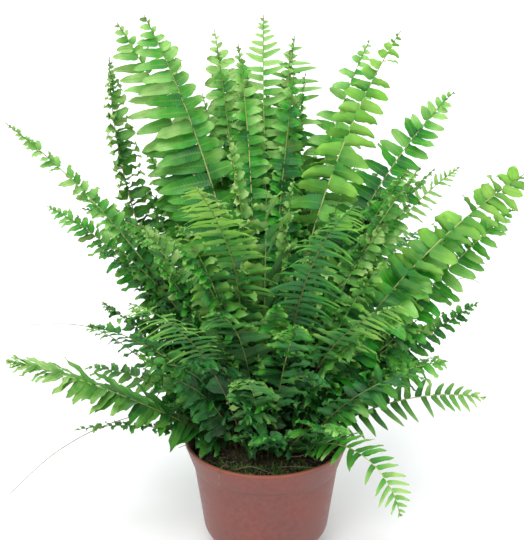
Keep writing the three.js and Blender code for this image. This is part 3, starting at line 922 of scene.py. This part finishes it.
def makePotMaterial():
    material, tree, surface = newMaterial("pottedClayPlastic")
    mottle = placeGroup(tree, mottleGroup, Large=28.0, Small=260.0)
    fine = placeGroup(tree, mottleGroup, Large=900.0, Small=2600.0)
    places = addNode(tree, "ShaderNodeTexCoord")
    parts = addNode(tree, "ShaderNodeSeparateXYZ")
    link(tree, places.outputs["Object"], parts.inputs[0])
    base = addMix(tree, mottle.outputs["Patches"], potColors["clay"], potColors["clayDark"])
    dusted = addMix(tree, addMath(tree, "MULTIPLY", mottle.outputs["Specks"], 0.16), base, potColors["dust"])
    # Painted highlight: the lip above its bead is painted a brighter orange.
    lipHeight = (potShape["height"] - potShape["bead"] + 0.6) * mm
    lip = addRemap(tree, parts.outputs[2], lipHeight, lipHeight + 0.0016)
    withLipHighlight = addMix(tree, addMath(tree, "MULTIPLY", lip, 0.55), dusted, potColors["lip"])
    # Painted shade: a thin dark line where the collar's foot steps in.
    paintedShadeHeight = (potShape["collarFoot"] - 0.6) * mm
    fromPaintedShade = addMath(tree, "ABSOLUTE", addMath(tree, "SUBTRACT", parts.outputs[2], paintedShadeHeight))
    paintedCollarShade = addRemap(tree, fromPaintedShade, 0.0004, 0.0013, 0.34, 0.0)
    withCollarShade = addMix(tree, paintedCollarShade, withLipHighlight, potColors["paintedCollarShade"])
    dressSurface(tree, surface, withCollarShade, mottle.outputs["Specks"], (0.42, 0.60), fine.outputs["Patches"],
                 0.12, 0.0003)
    surface.inputs["Specular IOR Level"].default_value = 0.32
    surface.inputs["Sheen Weight"].default_value = 0.10
    surface.inputs["Sheen Roughness"].default_value = 0.45
    return material


def makePot():
    p = potShape
    neckHeight = p["collarFoot"] - p["neckDrop"]
    collarFoot = (p["collarFootRadius"], p["collarFoot"])
    lip = roundedLip(p["rim"], p["height"], p["bead"], p["lip"])
    flareOut = p["rim"] - 0.7 - p["collarFootRadius"]
    flareUp = p["height"] - p["bead"] - 1.2 - p["collarFoot"]
    flare = [(collarFoot[0] + flareOut * t, collarFoot[1] + flareUp * t) for t in (0.03, 0.3, 0.65, 1)]
    profile = [
        (0, 0), (p["recessInner"] - 0.5, 0), (p["recessInner"], 0.15),
        (p["recessInner"] + p["recess"], p["recess"]), (p["recessOuter"], p["recess"]),
        (p["recessOuter"] + p["recess"], 0.1), (p["recessOuter"] + p["recess"] + 0.4, 0),
        *heelPoints(0),
        *roundCorner((p["heel"], p["heelHeight"]), (p["neck"], neckHeight), collarFoot, 0.8),
        (p["collarFootRadius"] - 0.15, p["collarFoot"] - 0.35), collarFoot,
        *flare, *lip,
        (p["collarFootRadius"] - p["wall"], p["collarFoot"] + p["wall"]),
        (p["neck"] - p["wall"], neckHeight),
        *reversed(heelPoints(p["wall"])),
        (p["recessOuter"] - 2, p["recess"] + p["floor"]), (0, p["recess"] + p["floor"]),
    ]
    pot = addObject("potBody", solidMesh("potBody", *lathe(profile, p["around"])))
    # The drain holes are cut by a ring of pegs.
    drillMesh = bpy.data.meshes.new("drainDrill")
    drill = bmesh.new()
    for i in range(p["drains"]):
        angle = 2 * math.pi * i / p["drains"]
        place = Matrix.Translation((p["drainRing"] * mm * math.cos(angle),
                                    p["drainRing"] * mm * math.sin(angle), 0))
        bmesh.ops.create_cone(drill, cap_ends=True, segments=32, radius1=p["drainRadius"] * mm,
                              radius2=p["drainRadius"] * mm, depth=20 * mm, matrix=place)
    drill.to_mesh(drillMesh)
    drill.free()
    drillPiece = addObject("drainDrill", drillMesh)
    cut = pot.modifiers.new("drains", "BOOLEAN")
    cut.object = drillPiece
    cut.operation = "DIFFERENCE"
    cut.solver = "EXACT"
    bpy.context.view_layer.objects.active = pot
    bpy.ops.object.modifier_apply(modifier="drains")
    bpy.data.objects.remove(drillPiece)
    smoothMesh(pot.data, 40)
    showPiece(pot, "pot", "pot_plastic", makePotMaterial())
    print("pot made")


makePot()

# Soil: a rough mound of crumbs with roots, moss and dry bits on it.
soilShape = {
    "radius": 53.0, "edge": 79.5, "mound": 84.5, "moundRadius": 36, "rough": 2.2, "rings": 44, "around": 150,
    "under": ((26, 4.2), (35, 5.5), (44.8, 21), (51.4, 71), (52.7, 76)),
    "crumbs": 2000, "roots": 90, "moss": 420, "chips": 60, "grains": 70,
}

# Moss grows in patches: each has its middle and how far it spreads.
mossPatches = [((-14, -38), 7), ((8, -41), 6), ((-32, -30), 6), ((26, -36), 5), ((0, -33), 10), ((0, 0), 30)]

# Longer dry threads on the soil. The first hangs over the rim and ends in a bead.
soilThreads = [
    [(-24, -38, 86), (-28, -44, 92), (-31.5, -49.6, 94.2), (-33.2, -52, 91), (-33.4, -52.6, 86),
     (-33.6, -52.4, 81)],
    [(-22, -40, 86), (-12, -42, 90), (-2, -44, 88), (6, -45, 85)],
    [(-16, -46, 84), (-10, -48, 87), (-5, -51, 83)],
    [(12, -30, 92), (24, -34, 94), (36, -30, 97), (46, -24, 99)],
    [(8, -38, 87), (20, -42, 90), (30, -40, 88), (40, -33, 84)],
    [(-56, -9, 90), (-60, -11, 94), (-66, -12, 95)],
    [(-55, -13, 89), (-59, -16, 93), (-64, -18, 92)],
]


def soilTop(x, y):
    r = math.hypot(x, y)
    share = min(1.0, max(0.0, (soilShape["radius"] - r) / (soilShape["radius"] - soilShape["moundRadius"])))
    height = soilShape["edge"] + (soilShape["mound"] - soilShape["edge"]) * share ** 0.8
    spot = Vector((x, y, 0))
    bumps = noise.fractal(spot * 0.11, 1.0, 2.0, 3) * 1.3 + noise.noise(spot * 0.5) * 0.5
    return height + bumps * soilShape["rough"] * 0.5

# Dark, light and speck colours of everything brown or mossy on and under the soil.
groundColors = {
    "moistPeat": ((0.004, 0.003, 0.002), (0.017, 0.011, 0.007), (0.055, 0.036, 0.021)),
    "dryFibre": ((0.17, 0.12, 0.06), (0.36, 0.29, 0.17), (0.10, 0.07, 0.035)),
    "barkChip": ((0.060, 0.034, 0.017), (0.17, 0.105, 0.055), (0.03, 0.018, 0.01)),
    "mossGreen": ((0.035, 0.095, 0.014), (0.12, 0.22, 0.035), (0.02, 0.04, 0.008)),
    "crownBark": ((0.030, 0.022, 0.010), (0.085, 0.065, 0.026), (0.05, 0.07, 0.02)),
    "runnerSkin": ((0.14, 0.12, 0.055), (0.30, 0.30, 0.14), (0.10, 0.07, 0.035)),
}


def makeGroundMaterial(name):
    dark, light, speck = groundColors[name]
    material, tree, surface = newMaterial(name)
    mottle = placeGroup(tree, mottleGroup, Large=240.0, Small=1400.0)
    base = addMix(tree, mottle.outputs["Patches"], dark, light)
    specked = addMix(tree, addMath(tree, "MULTIPLY", mottle.outputs["Specks"], 0.35), base, speck)
    dressSurface(tree, surface, specked, mottle.outputs["Specks"], (0.78, 0.95), mottle.outputs["Specks"],
                 0.7, 0.0008)
    return material


def mixAt(first, second, t, start, end):
    return first * ((end - t) / (end - start)) + second * ((t - start) / (end - start))


def smoothRoute(points, steps=60):
    # A Catmull-Rom curve with centripetal spacing, as the frame's runners have.
    pts = [Vector(p) for p in points]
    pts = [pts[0] * 2 - pts[1]] + pts + [pts[-1] * 2 - pts[-2]]
    out = []
    spans = len(points) - 1
    for s in range(steps + 1):
        at = min(s / steps * spans, spans - 1e-6)
        near = pts[int(at):int(at) + 4]
        knots = [0.0]
        for low, high in zip(near, near[1:]):
            knots.append(knots[-1] + (high - low).length ** 0.5)
        t = knots[1] + (knots[2] - knots[1]) * (at - int(at))
        sides = [mixAt(near[k], near[k + 1], t, knots[k], knots[k + 1]) for k in range(3)]
        inner = [mixAt(sides[k], sides[k + 1], t, knots[k], knots[k + 2]) for k in range(2)]
        out.append(mixAt(*inner, t, knots[1], knots[2]))
    return out


def lump(bm, place, size, rng, flat=0.7):
    # One crumb: a coarse ball pushed out of shape.
    made = bmesh.ops.create_icosphere(bm, subdivisions=1, radius=1.0)
    turn = Matrix.Rotation(rng.uniform(0, 6.28), 3, Vector(rng.normal(0, 1, 3)).normalized())
    scale = Vector((size * rng.uniform(0.7, 1.3), size * rng.uniform(0.7, 1.3), size * flat))
    for v in made["verts"]:
        co = turn @ v.co
        co *= 1 + rng.uniform(-0.22, 0.22)
        v.co = Vector((co.x * scale.x, co.y * scale.y, co.z * scale.z)) + place


def thread(bm, points, radius, sides=5):
    # A round fibre through the points, closed at both ends.
    rings = []
    count = len(points)
    for i, point in enumerate(points):
        ahead = (points[min(i + 1, count - 1)] - points[max(i - 1, 0)]).normalized()
        helper = Vector((0, 0, 1)) if abs(ahead.z) < 0.9 else Vector((1, 0, 0))
        left = ahead.cross(helper).normalized()
        up = left.cross(ahead)
        size = radius * (1 - 0.5 * i / count)
        rings.append([bm.verts.new(point + (left * math.cos(t) + up * math.sin(t)) * size)
                      for t in (2 * math.pi * k / sides for k in range(sides))])
    for low, high in zip(rings, rings[1:]):
        for k in range(sides):
            n = (k + 1) % sides
            bm.faces.new((low[k], high[k], high[n], low[n]))
    bm.faces.new(rings[0])
    bm.faces.new(tuple(reversed(rings[-1])))


def pieceFrom(bm, name, node, slot, material, sharp=60):
    bmesh.ops.recalc_face_normals(bm, faces=bm.faces)
    mesh = bpy.data.meshes.new(name)
    bmesh.ops.scale(bm, vec=(mm, mm, mm), verts=bm.verts)
    bm.to_mesh(mesh)
    bm.free()
    smoothMesh(mesh, sharp)
    showPiece(addObject(name, mesh), node, slot, material)


def makeSoil():
    around = soilShape["around"]
    under = soilShape["under"]
    vertices = [(0, 0, under[0][1])]
    for radius, height in under:
        vertices += [(x, y, height) for x, y in ringPoints(radius, around)]
    for i in range(soilShape["rings"]):
        radius = soilShape["radius"] * (1 - i / soilShape["rings"])
        vertices += [(x, y, soilTop(x, y)) for x, y in ringPoints(radius, around)]
    vertices.append((0, 0, soilTop(0, 0)))
    faces = ringFaces(len(under) + soilShape["rings"], around)
    moistPeat = makeGroundMaterial("moistPeat")
    mesh = solidMesh("soilMound", vertices, faces)
    smoothMesh(mesh, 80)
    showPiece(addObject("soilMound", mesh), "soil", "potting_soil", moistPeat)

    rng = np.random.default_rng(5)
    crumbs = bmesh.new()
    for _ in range(soilShape["crumbs"]):
        x, y = scatter(rng, soilShape["radius"], 0.12, 0.965)[2:]
        size = 0.5 + 2.0 * rng.random() ** 2.5
        lump(crumbs, Vector((x, y, soilTop(x, y) + 0.25 * size)), size, rng)
    pieceFrom(crumbs, "soilCrumbs", None, "potting_soil", moistPeat, 50)

    chips = bmesh.new()
    for _ in range(soilShape["chips"]):
        x, y = scatter(rng, soilShape["radius"], 0.3, 0.93)[2:]
        lump(chips, Vector((x, y, soilTop(x, y) + 0.8)), rng.uniform(1.2, 2.8), rng, 0.4)
    pieceFrom(chips, "barkChips", None, "potting_soil", makeGroundMaterial("barkChip"), 40)

    roots = bmesh.new()
    for _ in range(soilShape["roots"]):
        t, x, y = scatter(rng, soilShape["radius"], 0.15, 0.9)[1:]
        turn = rng.uniform(0, 6.28)
        points = []
        for step in range(int(rng.uniform(7, 18))):
            points.append(Vector((x, y, soilTop(x, y) + 0.9 + 1.0 * math.sin(step * 0.9 + t))))
            turn += rng.normal(0, 0.35)
            x += 1.7 * math.cos(turn)
            y += 1.7 * math.sin(turn)
            if math.hypot(x, y) > soilShape["radius"] - 1:
                break
        if len(points) > 3:
            thread(roots, points, rng.uniform(0.18, 0.42))
    for route in soilThreads:
        thread(roots, smoothRoute(route, 24), 0.34)
    lump(roots, Vector(soilThreads[0][-1]), 0.9, rng, 1.0)
    for _ in range(soilShape["grains"]):
        x, y = scatter(rng, soilShape["radius"], 0.2, 0.93)[2:]
        lump(roots, Vector((x, y, soilTop(x, y) + 1.2)), rng.uniform(0.35, 0.9), rng, 0.8)
    pieceFrom(roots, "surfaceRoots", None, "potting_soil", makeGroundMaterial("dryFibre"))

    moss = bmesh.new()
    for _ in range(soilShape["moss"]):
        centre, spread = mossPatches[int(rng.integers(len(mossPatches)))]
        x = centre[0] + rng.normal(0, spread)
        y = centre[1] + rng.normal(0, spread)
        if math.hypot(x, y) > soilShape["radius"] - 2:
            continue
        start = Vector((x, y, soilTop(x, y) - 0.3))
        tilt = Vector((rng.normal(0, 1.0), rng.normal(0, 1.0), 2.2)).normalized()
        bend = Vector((rng.normal(0, 0.6), rng.normal(0, 0.6), 0))
        size = rng.uniform(2.0, 5.5)
        thread(moss, [start + tilt * size * s + bend * s * s * 2 for s in (0, 0.35, 0.7, 1.0)], 0.7, 4)
    pieceFrom(moss, "mossTufts", None, "potting_soil", makeGroundMaterial("mossGreen"))
    print("soil made")


makeSoil()


# Crown: a knobbly dome with the stubs of old stalks.
def makeCrown():
    rng = np.random.default_rng(8)
    bm = bmesh.new()
    around = crown["around"]
    grid = []
    for i in range(crown["rings"]):
        radius = crown["radius"] * (1 - i / crown["rings"])
        row = []
        for x, y in ringPoints(radius, around):
            spot = Vector((x, y, 3.0))
            bump = noise.fractal(spot * 0.14, 1.0, 2.0, 3) * 1.8 + abs(noise.noise(spot * 0.35)) * 2.0
            height = crownTop(radius) - 1.2 + bump * (1 - (radius / crown["radius"]) ** 6)
            row.append(bm.verts.new((x, y, height)))
        grid.append(row)
    grid.insert(0, [bm.verts.new((x, y, crown["foot"])) for x, y in ringPoints(crown["radius"], around)])
    for low, high in zip(grid, grid[1:]):
        for k in range(around):
            n = (k + 1) % around
            bm.faces.new((low[k], low[n], high[n], high[k]))
    bm.faces.new(tuple(reversed(grid[0])))
    bm.faces.new(grid[-1])
    for _ in range(crown["stubs"]):
        r, t, x, y = scatter(rng, crown["radius"], 0.02, 0.95)
        start = Vector((x, y, crownTop(r) - 2))
        lean = Vector((math.cos(t) * r / 40, math.sin(t) * r / 40, 1)).normalized()
        size = rng.uniform(4, 13)
        thread(bm, [start + lean * size * s for s in (0, 0.4, 0.8, 1)], rng.uniform(0.8, 1.5), 6)
    for _ in range(crown["scales"]):
        r, _, x, y = scatter(rng, crown["radius"], 0.02, 1.0)
        lump(bm, Vector((x, y, crownTop(r) - 0.3)), rng.uniform(0.8, 2.2), rng)
    pieceFrom(bm, "crownKnot", "rhizome_crown", "rhizome", makeGroundMaterial("crownBark"), 50)
    print("crown made")


makeCrown()

# Runners: bare wiry threads through the same points as the frame's.
runnerRoutes = {
    "runner_1": [(-30, -6, 92), (-70, -20, 122), (-110, -28, 118), (-150, -34, 98), (-186, -40, 66)],
    "runner_2": [(-32, 10, 91), (-80, 32, 128), (-130, 48, 158), (-184, 52, 160)],
    "runner_3": [(30, 12, 92), (78, 30, 150), (118, 34, 190), (146, 36, 204), (158, 36, 200)],
}


def makeRunners():
    material = makeGroundMaterial("runnerSkin")
    for name, points in runnerRoutes.items():
        bm = bmesh.new()
        thread(bm, smoothRoute(points), 0.42, 6)
        pieceFrom(bm, name + "_thread", name, "runner", material)
    print("runners made")


makeRunners()


# Floor, light and camera.
def makeStage():
    bm = bmesh.new()
    bmesh.ops.create_grid(bm, x_segments=2, y_segments=2, size=6.0)
    mesh = bpy.data.meshes.new("floor")
    bm.to_mesh(mesh)
    bm.free()
    floor = addObject("floor", mesh)
    material, tree, surface = newMaterial("paleFloor")
    mottle = placeGroup(tree, mottleGroup, Large=3.0, Small=30.0)
    pale = addMix(tree, mottle.outputs["Patches"], (0.90, 0.90, 0.90), (0.92, 0.92, 0.92))
    link(tree, pale, surface.inputs["Base Color"])
    surface.inputs["Roughness"].default_value = 0.9
    surface.inputs["Specular IOR Level"].default_value = 0.1
    floor.data.materials.append(material)

    world = bpy.data.worlds.new("studio")
    world.use_nodes = True
    sky = world.node_tree
    sky.nodes["Background"].inputs[0].default_value = (0.97, 0.985, 1.0, 1)
    way = addNode(sky, "ShaderNodeTexCoord")
    wayParts = addNode(sky, "ShaderNodeSeparateXYZ")
    link(sky, way.outputs["Generated"], wayParts.inputs[0])
    glow = addRemap(sky, wayParts.outputs[2], 0.0, 1.0, 0.40, 1.6)
    seen = addNode(sky, "ShaderNodeLightPath")
    # The backdrop itself is plain white; only the light it gives fades towards the ground.
    backdrop = addMath(sky, "MAXIMUM", glow, seen.outputs["Is Camera Ray"])
    link(sky, backdrop, sky.nodes["Background"].inputs[1])
    setOut(sky, sky.nodes["World Output"])
    bpy.context.scene.world = world

    lamp = {"strength": 1.7, "angle": 30, "tilt": 36, "turn": -14}
    data = bpy.data.lights.new("softLamp", "SUN")
    data.energy = lamp["strength"]
    data.angle = math.radians(lamp["angle"])
    addObject("softLamp", data).rotation_euler = (math.radians(lamp["tilt"]), 0, math.radians(lamp["turn"]))

    view = {"place": (-0.003, -1.023, 0.636), "tilt": 21.9, "lens": 103.7}
    cameraData = bpy.data.cameras.new("camera")
    cameraData.lens = view["lens"]
    cameraData.sensor_width = 36
    cameraData.clip_end = 30
    camera = addObject("camera", cameraData)
    camera.location = view["place"]
    camera.rotation_euler = (math.radians(90 - view["tilt"]), 0, 0)
    bpy.context.scene.camera = camera
    bpy.context.scene.view_settings.view_transform = "Standard"
    print("stage set")


makeStage()
